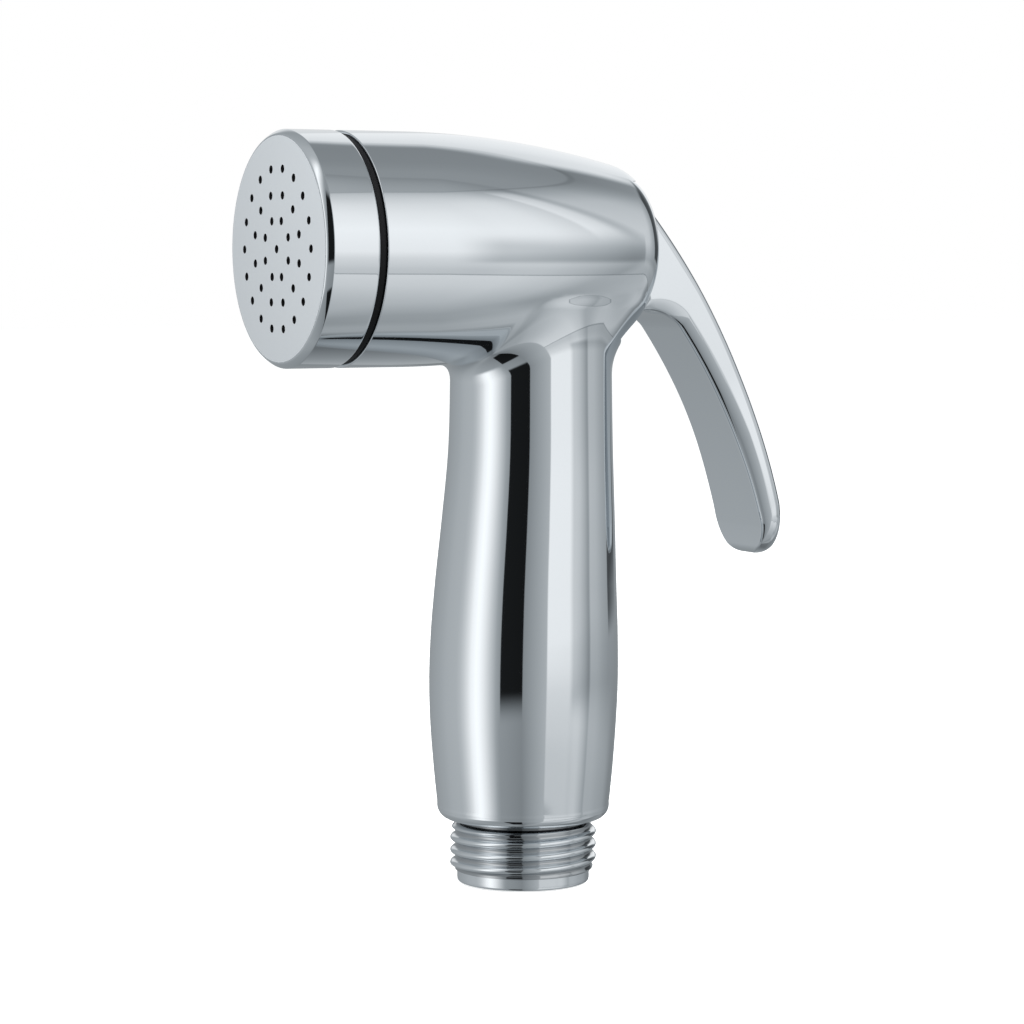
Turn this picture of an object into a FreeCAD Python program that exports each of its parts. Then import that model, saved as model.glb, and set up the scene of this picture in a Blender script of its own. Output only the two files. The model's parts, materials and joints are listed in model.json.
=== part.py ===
import FreeCAD, Part
import math
import os
import Sketcher
from types import SimpleNamespace

# Handheld bidet shower: a cast body with a barrel head and a grip, a screwed spray cap,
# a push valve on the barrel's axis, a lever at the back and a hose nipple below.
# Millimetres. +Z runs up the grip, the origin is the centre of the nipple's end face,
# the spray leaves towards -X and the lever is at +X.

document = FreeCAD.newDocument("bidet_shower")
sheet = document.addObject("Spreadsheet::Sheet", "Sizes")

# Driving sizes, one sheet row each
DRIVING_SIZES = [
    # Barrel of the body, on a level axis
    ("barrel_height", 90.2),
    ("barrel_radius", 16.3),
    ("barrel_taper_start", -17.0),
    ("barrel_corner_start", 13.0),
    ("barrel_corner_drop", 3.7),
    ("barrel_corner_middle", 16.0),
    ("barrel_corner_middle_drop", 6.0),
    ("barrel_back", 17.6),
    ("barrel_back_drop", 9.7),
    ("barrel_edge_break", 0.3),
    # Spray cap and the seal ring behind it
    ("spray_face_x", -38.2),
    ("cap_length", 7.9),
    ("cap_face_wall", 2.0),
    ("cap_wall", 2.3),
    ("cap_face_break", 0.8),
    ("spray_hole_radius", 0.575),
    ("inner_ring_radius", 4.1),
    ("middle_ring_radius", 7.5),
    ("outer_ring_radius", 11.0),
    ("seal_ring_thickness", 1.1),
    ("seal_ring_recess", 0.4),
    # Fits
    ("thread_fit", 0.15),
    ("static_fit", 0.1),
    ("running_fit", 0.08),
    ("press_fit", 0.02),
    ("moving_gap", 0.3),
    # Diffuser behind the spray face, standing on feet
    ("diffuser_clearance", 0.4),
    ("diffuser_foot", 2.0),
    ("diffuser_foot_inset", 1.4),
    ("water_gap", 1.3),
    ("diffuser_plate", 1.2),
    ("diffuser_window", 2.6),
    ("diffuser_window_circle", 8.0),
    # Bores of the barrel
    ("spigot_wall", 2.45),
    ("front_chamber_floor", -21.5),
    ("sleeve_bore_radius", 6.0),
    ("bulkhead_front", 8.0),
    ("bulkhead_wall", 1.7),
    # Valve sleeve, screwed in from the front by its hexagon head
    ("sleeve_gasket_thickness", 1.0),
    ("sleeve_gasket_radius", 7.2),
    ("sleeve_head_length", 3.0),
    ("sleeve_head_radius", 8.6),
    ("sleeve_waist_start", -4.0),
    ("sleeve_waist_radius", 4.8),
    ("valve_bore_radius", 3.0),
    ("valve_seat_x", -5.5),
    ("outlet_bore_radius", 4.6),
    ("port_x", 1.0),
    ("port_half_width", 1.5),
    ("rear_seal_width", 1.4),
    ("retainer_thickness", 1.2),
    ("retainer_arm_half_width", 1.7),
    # Spool, its washer, the spring and the button
    ("washer_radius", 3.6),
    ("washer_thickness", 1.2),
    ("collar_radius", 3.5),
    ("collar_length", 1.6),
    ("spring_guide_radius", 1.2),
    ("spring_guide_overhang", 0.6),
    ("stem_radius", 2.0),
    ("stem_seal_width", 1.2),
    ("wiper_radius", 3.0),
    ("wiper_depth", 0.9),
    ("spring_radius", 2.7),
    ("spring_wire", 0.7),
    ("button_radius", 3.1),
    ("button_thickness", 1.5),
    ("button_socket", 0.8),
    # Lever, on its pin
    ("pin_x", 13.0),
    ("pin_rise", 6.8),
    ("pin_radius", 1.25),
    ("pin_half_length", 9.0),
    ("pin_end_recess", 0.4),
    ("lever_hub_radius", 2.65),
    ("lever_width", 13.5),
    ("lever_edge_break", 0.9),
    ("lever_tip_corner", 6.0),
    ("nose_radius", 2.0),
    ("nose_offset", 0.5),
    ("lever_outer_radius", 105.0),
    ("lever_shoulder_x", 17.4),
    ("lever_shoulder_height", 95.9),
    ("lever_heel_x", 39.3),
    ("lever_heel_height", 53.2),
    ("lever_heel_radius", 60.0),
    ("lever_inner_radius", 80.0),
    ("lever_root_x", 16.2),
    ("lever_root_height", 81.4),
    ("lever_bend_radius", 7.0),
    ("lever_bend_x", 22.7),
    ("lever_bend_height", 79.1),
    ("lever_toe_inset", 2.9),
    ("lever_toe_drop", 3.4),
    ("lever_tip_inset", 2.1),
    ("lever_tip_overhang", 0.6),
    ("lever_tip_drop", 6.6),
    ("lever_tip_radius", 1.4),
    # Pocket for the lever in the back of the barrel
    ("pocket_floor", 78.6),
    ("pocket_floor_break_x", 10.8),
    ("pocket_floor_drop", 10.0),
    ("pocket_overrun", 5.0),
    ("cut_overrun", 1.0),
    # Grip, whose axis leans back a little
    ("grip_base", 9.1),
    ("grip_base_radius", 10.6),
    ("grip_neck_height", 62.5),
    ("grip_neck_x", 1.25),
    ("grip_neck_inset", 4.7),
    ("grip_top_depth", 6.2),
    ("grip_blend", 4.5),
    ("waterway_wall", 3.2),
    ("waterway_x", 0.6),
    ("waterway_top", 77.0),
    ("throat_radius", 5.0),
    ("throat_top", 87.5),
    # Hose nipple, with a gasket and a filter above it in the grip's socket
    ("hose_thread_radius", 10.4775),
    ("hose_thread_start", 1.6),
    ("hose_thread_end", 8.6),
    ("nipple_edge", 0.4),
    ("nipple_land_radius", 9.45),
    ("nipple_shank_radius", 9.5),
    ("nipple_top", 17.4),
    ("nipple_bore", 7.0),
    ("nipple_gasket_thickness", 1.2),
    ("filter_thickness", 0.4),
    ("filter_opening", 1.4),
    ("filter_ring_pitch", 2.6),
]

# Holes round the spray face, windows round the discs, and turns of the spring
SPRAY_RINGS = ("inner_ring_radius", "middle_ring_radius", "outer_ring_radius")
SPRAY_RING_COUNTS = (8, 12, 18)
HOLE_SIDES = 4
DIFFUSER_FEET = 4
DIFFUSER_WINDOWS = 6
FILTER_RING_COUNTS = (4, 8)
SLEEVE_HEAD_SIDES = 6
SPRING_TURNS = 3

# Grip sections from the base edge up to the neck: height, centre along X, radius
GRIP_SECTIONS = [
    (10.6, 0.0, 12.15),
    (18.0, -0.05, 13.0),
    (28.8, 0.1, 13.5),
    (40.3, 0.3, 13.15),
    (51.8, 0.8, 12.38),
]


class Size:
    """A number together with the sheet formula that gives it."""

    def __init__(self, value, formula):
        self.value = float(value)
        self.formula = formula

    def __add__(self, other):
        other = as_size(other)
        return Size(self.value + other.value, f"({self.formula} + {other.formula})")

    def __radd__(self, other):
        return as_size(other) + self

    def __sub__(self, other):
        other = as_size(other)
        return Size(self.value - other.value, f"({self.formula} - {other.formula})")

    def __rsub__(self, other):
        return as_size(other) - self

    def __mul__(self, other):
        other = as_size(other)
        return Size(self.value * other.value, f"({self.formula} * {other.formula})")

    def __rmul__(self, other):
        return as_size(other) * self

    def __truediv__(self, other):
        other = as_size(other)
        return Size(self.value / other.value, f"({self.formula} / {other.formula})")

    def __neg__(self):
        return as_size(0) - self


def as_size(number):
    """A plain number as a Size."""
    if isinstance(number, Size):
        return number
    return Size(number, f"{float(number):.6f}")


def root(size):
    """The square root of a Size."""
    return Size(math.sqrt(size.value), f"sqrt({size.formula})")


def fill_sheet():
    """Write the driving sizes to the sheet and hand them back by name."""
    sizes = {}
    rows = [(name, value) for name, value in DRIVING_SIZES]
    for index, (height, centre, radius) in enumerate(GRIP_SECTIONS):
        rows.append((f"grip_height_{index}", height))
        rows.append((f"grip_centre_{index}", centre))
        rows.append((f"grip_radius_{index}", radius))
    for row, (name, value) in enumerate(rows, start=1):
        sheet.set(f"A{row}", name)
        sheet.set(f"B{row}", str(value))
        sheet.setAlias(f"B{row}", name)
        sizes[name] = Size(value, f"Sizes.{name}")
    document.recompute()
    return SimpleNamespace(**sizes), sizes


size, size_by_name = fill_sheet()


def bind(thing, field, amount):
    """Give a property its number and tie it to the sheet."""
    amount = as_size(amount)
    if "." not in field and "[" not in field:
        setattr(thing, field, amount.value)
    thing.setExpression(field, amount.formula)


def new_body(name, lift=None):
    """A body for one sub-part, raised to the barrel's axis where lift says so."""
    body = document.addObject("PartDesign::Body", name)
    body.Label = name
    if lift is not None:
        body.Placement.Base.z = lift.value
        body.setExpression(".Placement.Base.z", lift.formula)
    return body


def plane_of(body, role):
    """One of the body's own origin planes or axes."""
    return next(item for item in body.Origin.OriginFeatures if item.Role == role)


def new_sketch(body, name, role="XZ_Plane", shift=None):
    """A sketch on an origin plane, moved along the plane's normal or in it by shift."""
    sketch = body.newObject("Sketcher::SketchObject", name)
    sketch.AttachmentSupport = [(plane_of(body, role), "")]
    sketch.MapMode = "FlatFace"
    for axis, amount in (shift or {}).items():
        setattr(sketch.AttachmentOffset.Base, axis, as_size(amount).value)
        sketch.setExpression(f".AttachmentOffset.Base.{axis}", as_size(amount).formula)
    return sketch


def hold_point(sketch, geometry, position, point):
    """Fix one end of a line or arc, or a centre, at a point measured from the origin."""
    for kind, amount in (("DistanceX", point[0]), ("DistanceY", point[1])):
        amount = as_size(amount)
        constraint = Sketcher.Constraint(kind, -1, 1, geometry, position, amount.value)
        index = sketch.addConstraint(constraint)
        sketch.setExpression(f"Constraints[{index}]", amount.formula)


def bulge_point(start, end, radius):
    """The middle of an arc from start to end: left of the way for a positive radius."""
    ax, ay = start[0].value, start[1].value
    bx, by = end[0].value, end[1].value
    chord = math.hypot(bx - ax, by - ay)
    reach = abs(radius)
    sagitta = reach - math.sqrt(reach ** 2 - (chord / 2) ** 2)
    side = math.copysign(1, radius)
    across = (-(by - ay) / chord * side, (bx - ax) / chord * side)
    return (ax + bx) / 2 + across[0] * sagitta, (ay + by) / 2 + across[1] * sagitta


def draw_outline(sketch, points):
    """Draw a closed outline. A point is (x, y), or (x, y, radius) for an arc that ends there.

    A positive radius bulges to the left of the way round, a negative one to the right.
    """
    corners = [(as_size(point[0]), as_size(point[1])) for point in points]
    count = len(points)
    first = sketch.GeometryCount
    ends = []
    for index in range(count):
        start = corners[index - 1]
        end = corners[index]
        here = FreeCAD.Vector(start[0].value, start[1].value, 0)
        there = FreeCAD.Vector(end[0].value, end[1].value, 0)
        if len(points[index]) == 2:
            sketch.addGeometry(Part.LineSegment(here, there), False)
            ends.append((1, 2))
            continue
        middle = bulge_point(start, end, as_size(points[index][2]).value)
        through = FreeCAD.Vector(middle[0], middle[1], 0)
        if as_size(points[index][2]).value > 0:
            sketch.addGeometry(Part.Arc(there, through, here), False)
            ends.append((2, 1))
        else:
            sketch.addGeometry(Part.Arc(here, through, there), False)
            ends.append((1, 2))
    for index in range(count):
        following = (index + 1) % count
        sketch.addConstraint(Sketcher.Constraint(
            "Coincident", first + index, ends[index][1], first + following, ends[following][0]))
        hold_point(sketch, first + index, ends[index][1], corners[index])
    for index, point in enumerate(points):
        if len(point) == 3:
            reach = as_size(point[2])
            reach = reach if reach.value > 0 else -reach
            row = sketch.addConstraint(Sketcher.Constraint("Radius", first + index, reach.value))
            sketch.setExpression(f"Constraints[{row}]", reach.formula)


def draw_circle(sketch, centre, radius):
    """Draw a circle about a point."""
    middle = FreeCAD.Vector(as_size(centre[0]).value, as_size(centre[1]).value, 0)
    circle = Part.Circle(middle, FreeCAD.Vector(0, 0, 1), as_size(radius).value)
    geometry = sketch.addGeometry(circle, False)
    hold_point(sketch, geometry, 3, centre)
    row = sketch.addConstraint(Sketcher.Constraint("Radius", geometry, as_size(radius).value))
    sketch.setExpression(f"Constraints[{row}]", as_size(radius).formula)


def draw_polygon(sketch, centre, radius, sides):
    """Draw a regular polygon whose corners lie at a radius from a point."""
    corners = []
    for corner in range(sides):
        angle = 2 * math.pi * corner / sides
        corners.append((centre[0] + radius * math.cos(angle), centre[1] + radius * math.sin(angle)))
    draw_outline(sketch, corners)


def draw_square(sketch, centre, half):
    """Draw a square about a point."""
    draw_outline(sketch, [
        (centre[0] - half, centre[1] - half),
        (centre[0] + half, centre[1] - half),
        (centre[0] + half, centre[1] + half),
        (centre[0] - half, centre[1] + half),
    ])


def turn(body, name, points, axis="H_Axis", shift=None):
    """Turn an outline about its sketch's own axis into a solid."""
    sketch = new_sketch(body, f"{name}_outline", shift=shift)
    draw_outline(sketch, points)
    feature = body.newObject("PartDesign::Revolution", name)
    feature.Profile = sketch
    feature.ReferenceAxis = (sketch, [axis])
    feature.Angle = 360
    document.recompute()
    return feature


def turn_away(body, name, points, axis="H_Axis", shift=None):
    """Turn an outline about its sketch's own axis and take it out of the body."""
    before = body.Shape.Volume
    sketch = new_sketch(body, f"{name}_outline", shift=shift)
    draw_outline(sketch, points)
    feature = body.newObject("PartDesign::Groove", name)
    feature.Profile = sketch
    feature.ReferenceAxis = (sketch, [axis])
    feature.Angle = 360
    document.recompute()
    expect_less(body, before, name)
    return feature


def cut_through(body, name, sketch):
    """Cut a sketch right through the body, both ways."""
    before = body.Shape.Volume
    feature = body.newObject("PartDesign::Pocket", name)
    feature.Profile = sketch
    feature.SideType = "Symmetric"
    feature.Type = "ThroughAll"
    document.recompute()
    expect_less(body, before, name)
    return feature


def cut_depth(body, name, sketch, depth, other_depth=None):
    """Cut a sketch to a depth, and to another on its far side where one is given."""
    before = body.Shape.Volume
    feature = body.newObject("PartDesign::Pocket", name)
    feature.Profile = sketch
    if other_depth is None:
        feature.SideType = "Symmetric"
    else:
        feature.SideType = "Two sides"
        bind(feature, "Length2", other_depth)
    bind(feature, "Length", depth)
    document.recompute()
    expect_less(body, before, name)
    return feature


def expect_less(body, before, name):
    """Stop where a cut took nothing away."""
    if body.Shape.Volume >= before - 1e-6:
        raise RuntimeError(f"{name} took nothing away")


def repeat_round(body, name, feature, axis_role, count, angle=360):
    """Repeat a cut round one of the body's own axes."""
    before = body.Shape.Volume
    pattern = body.newObject("PartDesign::PolarPattern", name)
    pattern.Originals = [feature]
    pattern.Axis = (plane_of(body, axis_role), [""])
    pattern.Angle = angle
    pattern.Occurrences = count
    body.Tip = pattern
    document.recompute()
    expect_less(body, before, name)
    return pattern


def treat_edges(body, name, kind, edges, amount):
    """Fillet or chamfer some edges of the newest feature, given by their numbers."""
    newest = body.Tip
    feature = body.newObject(f"PartDesign::{kind}", name)
    feature.Base = (newest, [f"Edge{number}" for number in edges])
    bind(feature, "Radius" if kind == "Fillet" else "Size", amount)
    document.recompute()
    return feature


# Radii that follow the barrel's, from the cap's thread inwards and from the taper back
cap_thread = size.barrel_radius - size.cap_wall
spigot = cap_thread - size.thread_fit
front_chamber = spigot - size.spigot_wall
diffuser_rim = cap_thread - size.diffuser_clearance
barrel_corner = size.barrel_radius - size.barrel_corner_drop
barrel_corner_middle = size.barrel_radius - size.barrel_corner_middle_drop
barrel_back_edge = size.barrel_radius - size.barrel_back_drop

grip_neck = size.barrel_radius - size.grip_neck_inset
waterway_radius = grip_neck - size.waterway_wall

# Heights that follow the barrel's axis, and the lever's end that follows its heel
grip_top = size.barrel_height - size.grip_top_depth
pin_height = size.barrel_height + size.pin_rise
pocket_ceiling = pin_height + size.lever_hub_radius + size.moving_gap
lever_toe = (size.lever_heel_x - size.lever_toe_inset, size.lever_heel_height - size.lever_toe_drop)
lever_tip = size.lever_heel_height - size.lever_tip_drop
lever_tip_inner = size.lever_heel_x - size.lever_tip_inset
lever_tip_outer = size.lever_heel_x + size.lever_tip_overhang

# Places along the barrel's axis, from the spray face back
spray_face = size.spray_face_x
cap_inside = spray_face + size.cap_face_wall
cap_back = spray_face + size.cap_length
shoulder = cap_back + size.seal_ring_thickness
plate_front = cap_inside + size.water_gap
spigot_front = plate_front + size.diffuser_plate
sleeve_head_back = size.front_chamber_floor - size.sleeve_gasket_thickness
sleeve_front = sleeve_head_back - size.sleeve_head_length
retainer_back = sleeve_front + size.retainer_thickness
washer_front = size.valve_seat_x - size.washer_thickness
collar_front = washer_front - size.collar_length
sleeve_back = size.bulkhead_front - size.static_fit
pocket_front = size.bulkhead_front + size.bulkhead_wall
button_back = size.pin_x + size.nose_offset - size.moving_gap
button_front = button_back - size.button_thickness
stem_hole = size.stem_radius + size.running_fit
pocket_width = size.lever_width + 2 * size.moving_gap

# Places up the grip's axis, above the hose nipple
gasket_top = size.nipple_top + size.nipple_gasket_thickness
socket_top = gasket_top + size.filter_thickness
socket_radius = size.nipple_shank_radius + size.static_fit


def make_body_casting():
    """Barrel and grip in one casting, bored for the valve, the water and the lever."""
    body = new_body("body_casting")
    on_axis = {"y": size.barrel_height}
    edge = size.barrel_edge_break
    turn(body, "barrel", [
        (spigot_front, 0),
        (spigot_front, spigot),
        (shoulder, spigot),
        (shoulder, size.barrel_radius - edge),
        (shoulder + edge, size.barrel_radius),
        (size.barrel_taper_start, size.barrel_radius),
        (size.barrel_corner_start, barrel_corner),
        (size.barrel_corner_middle, barrel_corner_middle),
        (size.barrel_back, barrel_back_edge),
        (size.barrel_back, 0),
    ], shift=on_axis)
    turn(body, "grip_neck", [
        (0, size.grip_neck_height),
        (grip_neck, size.grip_neck_height),
        (grip_neck, grip_top),
        (0, grip_top),
    ], axis="V_Axis", shift={"x": size.grip_neck_x})
    joint = grip_joint_edges(body.Shape)
    treat_edges(body, "grip_blend", "Fillet", joint, size.grip_blend)
    sections = []
    for index in range(len(GRIP_SECTIONS)):
        section = new_sketch(body, f"grip_section_{index}", "XY_Plane",
                             {"z": size_by_name[f"grip_height_{index}"]})
        draw_circle(section, (size_by_name[f"grip_centre_{index}"], 0),
                    size_by_name[f"grip_radius_{index}"])
        sections.append(section)
    neck_section = new_sketch(body, "grip_neck_section", "XY_Plane", {"z": size.grip_neck_height})
    draw_circle(neck_section, (size.grip_neck_x, 0), grip_neck)
    sections.append(neck_section)
    grip = body.newObject("PartDesign::AdditiveLoft", "grip")
    grip.Profile = sections[0]
    grip.Sections = sections[1:]
    grip.Ruled = True
    document.recompute()
    turn(body, "grip_base", [
        (0, size.grip_base),
        (size.grip_base_radius, size.grip_base),
        (size_by_name["grip_radius_0"], size_by_name["grip_height_0"]),
        (0, size_by_name["grip_height_0"]),
    ], axis="V_Axis")
    turn_away(body, "barrel_bore", [
        (spigot_front - size.cut_overrun, 0),
        (spigot_front - size.cut_overrun, front_chamber),
        (size.front_chamber_floor, front_chamber),
        (size.front_chamber_floor, size.sleeve_bore_radius),
        (size.bulkhead_front, size.sleeve_bore_radius),
        (size.bulkhead_front, stem_hole),
        (pocket_front - size.wiper_depth, stem_hole),
        (pocket_front - size.wiper_depth, size.wiper_radius),
        (pocket_front + size.cut_overrun, size.wiper_radius),
        (pocket_front + size.cut_overrun, 0),
    ], shift=on_axis)
    turn_away(body, "nipple_socket", [
        (0, size.grip_base - size.cut_overrun),
        (socket_radius, size.grip_base - size.cut_overrun),
        (socket_radius, socket_top),
        (0, socket_top),
    ], axis="V_Axis")
    turn_away(body, "waterway", [
        (0, socket_top - size.cut_overrun),
        (waterway_radius, socket_top - size.cut_overrun),
        (waterway_radius, size.waterway_top),
        (size.throat_radius, size.waterway_top),
        (size.throat_radius, size.throat_top),
        (0, size.throat_top),
    ], axis="V_Axis", shift={"x": size.waterway_x})
    beyond = size.barrel_back + size.pocket_overrun
    pocket = new_sketch(body, "lever_pocket_outline")
    draw_outline(pocket, [
        (pocket_front, pocket_ceiling),
        (beyond, pocket_ceiling),
        (beyond, size.pocket_floor - size.pocket_floor_drop),
        (size.pocket_floor_break_x, size.pocket_floor),
        (pocket_front, size.pocket_floor),
    ])
    cut_depth(body, "lever_pocket", pocket, pocket_width)
    pin_bore = new_sketch(body, "pin_bore_outline")
    draw_circle(pin_bore, (size.pin_x, pin_height), size.pin_radius + size.press_fit)
    cut_depth(body, "pin_bore", pin_bore, size.barrel_radius, size.pin_half_length)
    return body


def grip_joint_edges(shape):
    """The edges where the grip's neck meets the barrel, up to the barrel's axis."""
    low = size.grip_neck_height.value + size.cut_overrun.value
    high = size.barrel_height.value
    return [number for number, edge in enumerate(shape.Edges, start=1)
            if low < edge.BoundBox.ZMin and edge.BoundBox.ZMax < high]


def make_spray_cap():
    """Turned cup with a drilled face and a plain bore for its thread."""
    body = new_body("spray_cap", size.barrel_height)
    edge = size.cap_face_break
    turn(body, "cup", [
        (spray_face, 0),
        (spray_face, size.barrel_radius - edge),
        (spray_face + edge, size.barrel_radius),
        (cap_back, size.barrel_radius),
        (cap_back, cap_thread),
        (cap_inside, cap_thread),
        (cap_inside, 0),
    ])
    centre = new_sketch(body, "centre_hole_outline", "YZ_Plane")
    draw_polygon(centre, (as_size(0), as_size(0)), size.spray_hole_radius, HOLE_SIDES)
    cut_through(body, "centre_hole", centre)
    for ring, count in zip(SPRAY_RINGS, SPRAY_RING_COUNTS):
        hole = new_sketch(body, f"{ring}_hole_outline", "YZ_Plane")
        draw_polygon(hole, (as_size(0), size_by_name[ring]), size.spray_hole_radius, HOLE_SIDES)
        first = cut_through(body, f"{ring}_hole", hole)
        repeat_round(body, f"{ring}_holes", first, "X_Axis", count)
    return body


def make_ring(name, front, back, inner, outer):
    """A plain ring of rectangular section on the barrel's axis."""
    body = new_body(name, size.barrel_height)
    turn(body, "ring", [(front, inner), (front, outer), (back, outer), (back, inner)])
    return body


def make_cap_seal_ring():
    """Flat rubber ring between the cap and the barrel's shoulder."""
    outer = size.barrel_radius - size.seal_ring_recess
    return make_ring("cap_seal_ring", cap_back, shoulder, cap_thread, outer)


def make_flow_diffuser():
    """Plastic disc on feet that spreads the water behind the spray face."""
    body = new_body("flow_diffuser", size.barrel_height)
    turn(body, "disc", [
        (plate_front, 0),
        (plate_front, diffuser_rim),
        (spigot_front, diffuser_rim),
        (spigot_front, 0),
    ])
    foot = new_sketch(body, "foot_outline", "YZ_Plane", {"z": cap_inside})
    foot_circle = diffuser_rim - size.diffuser_foot_inset
    draw_square(foot, (as_size(0), foot_circle), size.diffuser_foot / 2)
    post = body.newObject("PartDesign::Pad", "foot")
    post.Profile = foot
    bind(post, "Length", size.water_gap)
    document.recompute()
    feet = body.newObject("PartDesign::PolarPattern", "feet")
    feet.Originals = [post]
    feet.Axis = (plane_of(body, "X_Axis"), [""])
    feet.Angle = 360
    feet.Occurrences = DIFFUSER_FEET
    body.Tip = feet
    document.recompute()
    window = new_sketch(body, "window_outline", "YZ_Plane")
    draw_square(window, (as_size(0), size.diffuser_window_circle), size.diffuser_window / 2)
    first = cut_through(body, "window", window)
    repeat_round(body, "windows", first, "X_Axis", DIFFUSER_WINDOWS)
    return body


def make_valve_sleeve():
    """Brass cartridge liner: hexagon head, threaded land, waist with ports, valve seat."""
    body = new_body("valve_sleeve", size.barrel_height)
    hexagon = new_sketch(body, "head_outline", "YZ_Plane", {"z": sleeve_front})
    draw_polygon(hexagon, (as_size(0), as_size(0)), size.sleeve_head_radius, SLEEVE_HEAD_SIDES)
    head = body.newObject("PartDesign::Pad", "head")
    head.Profile = hexagon
    bind(head, "Length", size.sleeve_head_length)
    document.recompute()
    land = size.sleeve_bore_radius - size.thread_fit
    turn(body, "liner", [
        (sleeve_head_back - size.sleeve_head_length / 2, 0),
        (sleeve_head_back - size.sleeve_head_length / 2, land),
        (size.sleeve_waist_start, land),
        (size.sleeve_waist_start, size.sleeve_waist_radius),
        (sleeve_back, size.sleeve_waist_radius),
        (sleeve_back, 0),
    ])
    turn_away(body, "bore", [
        (sleeve_front - size.cut_overrun, 0),
        (sleeve_front - size.cut_overrun, size.outlet_bore_radius),
        (size.valve_seat_x, size.outlet_bore_radius),
        (size.valve_seat_x, size.valve_bore_radius),
        (sleeve_back + size.cut_overrun, size.valve_bore_radius),
        (sleeve_back + size.cut_overrun, 0),
    ])
    for role in ("XY_Plane", "XZ_Plane"):
        port = new_sketch(body, f"port_outline_{role[:2]}", role)
        draw_square(port, (size.port_x, as_size(0)), size.port_half_width)
        cut_through(body, f"ports_{role[:2]}", port)
    return body


def make_sleeve_gasket():
    """Flat gasket under the sleeve's hexagon head."""
    return make_ring("sleeve_gasket", sleeve_head_back, size.front_chamber_floor,
                     size.sleeve_bore_radius, size.sleeve_gasket_radius)


def make_sleeve_rear_seal():
    """Square ring round the sleeve's waist, behind the ports."""
    return make_ring("sleeve_rear_seal", sleeve_back - size.rear_seal_width, sleeve_back,
                     size.sleeve_waist_radius, size.sleeve_bore_radius)


def make_spring_retainer():
    """Four-armed plate pressed into the sleeve's mouth, which carries the spring."""
    body = new_body("spring_retainer", size.barrel_height)
    half = size.retainer_arm_half_width
    reach_out = size.outlet_bore_radius - size.press_fit
    reach = root(reach_out * reach_out - half * half)
    cross = new_sketch(body, "cross_outline", "YZ_Plane", {"z": sleeve_front})
    draw_outline(cross, [
        (-reach, -half),
        (-half, -half),
        (-half, -reach),
        (half, -reach),
        (half, -half),
        (reach, -half),
        (reach, half),
        (half, half),
        (half, reach),
        (-half, reach),
        (-half, half),
        (-reach, half),
    ])
    plate = body.newObject("PartDesign::Pad", "plate")
    plate.Profile = cross
    bind(plate, "Length", size.retainer_thickness)
    document.recompute()
    hole = new_sketch(body, "guide_hole_outline", "YZ_Plane")
    draw_circle(hole, (0, 0), size.spring_guide_radius + size.running_fit)
    cut_through(body, "guide_hole", hole)
    return body


def make_return_spring():
    """Coil spring from the retainer to the spool's collar."""
    body = new_body("return_spring", size.barrel_height)
    half = size.spring_wire / 2
    section = new_sketch(body, "wire_section")
    draw_square(section, (retainer_back + half, size.spring_radius), half)
    coil = body.newObject("PartDesign::AdditiveHelix", "coil")
    coil.Profile = section
    coil.ReferenceAxis = (section, ["H_Axis"])
    coil.Mode = "height-turns-angle"
    bind(coil, "Height", collar_front - retainer_back - size.spring_wire)
    coil.Turns = SPRING_TURNS
    document.recompute()
    return body


def make_valve_spool():
    """Brass spool: a rod inside the spring, a collar and the stem to the button."""
    body = new_body("valve_spool", size.barrel_height)
    rod_front = sleeve_front - size.spring_guide_overhang
    stem_end = button_front + size.button_socket
    turn(body, "spool", [
        (rod_front, 0),
        (rod_front, size.spring_guide_radius),
        (collar_front, size.spring_guide_radius),
        (collar_front, size.collar_radius),
        (washer_front, size.collar_radius),
        (washer_front, size.stem_radius),
        (stem_end, size.stem_radius),
        (stem_end, 0),
    ])
    return body


def make_valve_washer():
    """Rubber washer behind the spool's collar, closed against the sleeve's seat."""
    return make_ring("valve_washer", washer_front, size.valve_seat_x,
                     size.stem_radius, size.washer_radius)


def make_stem_seal():
    """Rubber ring that seals the stem in the rear of the sleeve's bore."""
    return make_ring("stem_seal", sleeve_back - size.stem_seal_width, sleeve_back,
                     stem_hole, size.valve_bore_radius)


def make_stem_wiper():
    """Rubber ring round the stem where it leaves the bulkhead."""
    return make_ring("stem_wiper", pocket_front - size.wiper_depth, pocket_front,
                     stem_hole, size.wiper_radius - size.press_fit)


def make_thrust_button():
    """Plastic button on the stem's end, pushed by the lever's nose."""
    body = new_body("thrust_button", size.barrel_height)
    turn(body, "button", [
        (button_front, size.stem_radius),
        (button_front, size.button_radius),
        (button_back, size.button_radius),
        (button_back, 0),
        (button_front + size.button_socket, 0),
        (button_front + size.button_socket, size.stem_radius),
    ])
    return body


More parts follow.
